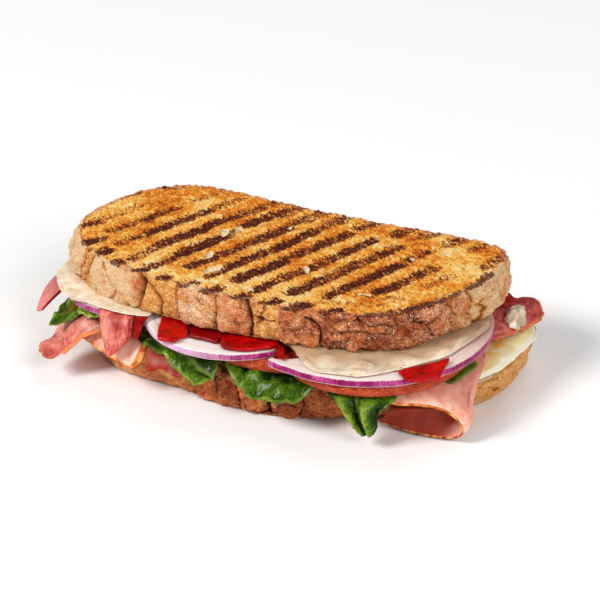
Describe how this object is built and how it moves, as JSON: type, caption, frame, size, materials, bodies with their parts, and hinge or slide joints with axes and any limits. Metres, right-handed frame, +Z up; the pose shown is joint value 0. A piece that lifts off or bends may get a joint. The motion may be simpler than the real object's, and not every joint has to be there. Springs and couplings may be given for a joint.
{
  "type": "grilled panini sandwich",
  "caption": "Pressed and grilled country loaf sandwich with ham, cured meat, spinach, tomato, red onion, roasted pepper, melted cheese and a cream sauce.",
  "frame": {"origin": "bottom centre of the bounding box, on the plane the bottom slice rests on", "axes": "+X is the long way of the loaf, -Y is the open front that shows the filling, +Z is up"},
  "size_m": [0.1896, 0.1054, 0.049],
  "materials": {
    "toasted_bread": "dry toasted crust and crumb, matt",
    "melted_cheese": "smooth, soft, glossy",
    "cream_sauce": "smooth cream with herb specks, satin",
    "ham": "moist, satin",
    "cured_meat": "slightly oily, satin",
    "spinach": "fresh leaf, satin",
    "tomato": "wet, glossy",
    "red_onion": "moist, glossy",
    "roasted_pepper": "oily, glossy"
  },
  "bodies": {
    "root": {"bread_top": "toasted_bread", "bread_bottom": "toasted_bread", "cheese": "melted_cheese", "sauce": "cream_sauce", "sauce_dab": "cream_sauce", "ham_left": "ham", "ham_middle": "ham", "ham_right": "ham", "cured_left": "cured_meat", "cured_point": "cured_meat", "cured_right": "cured_meat", "spinach_centre": "spinach", "spinach_centre_left": "spinach", "spinach_right": "spinach", "spinach_left": "spinach", "spinach_sliver": "spinach", "spinach_hanging": "spinach", "tomato_right": "tomato", "tomato_centre": "tomato", "onion_left": "red_onion", "onion_centre": "red_onion", "onion_right": "red_onion", "pepper_front": "roasted_pepper", "pepper_shade": "roasted_pepper", "pepper_centre": "roasted_pepper", "pepper_small": "roasted_pepper", "pepper_right": "roasted_pepper", "pepper_behind": "roasted_pepper", "pepper_point": "roasted_pepper", "pepper_end": "roasted_pepper"}
  },
  "joints": []
}
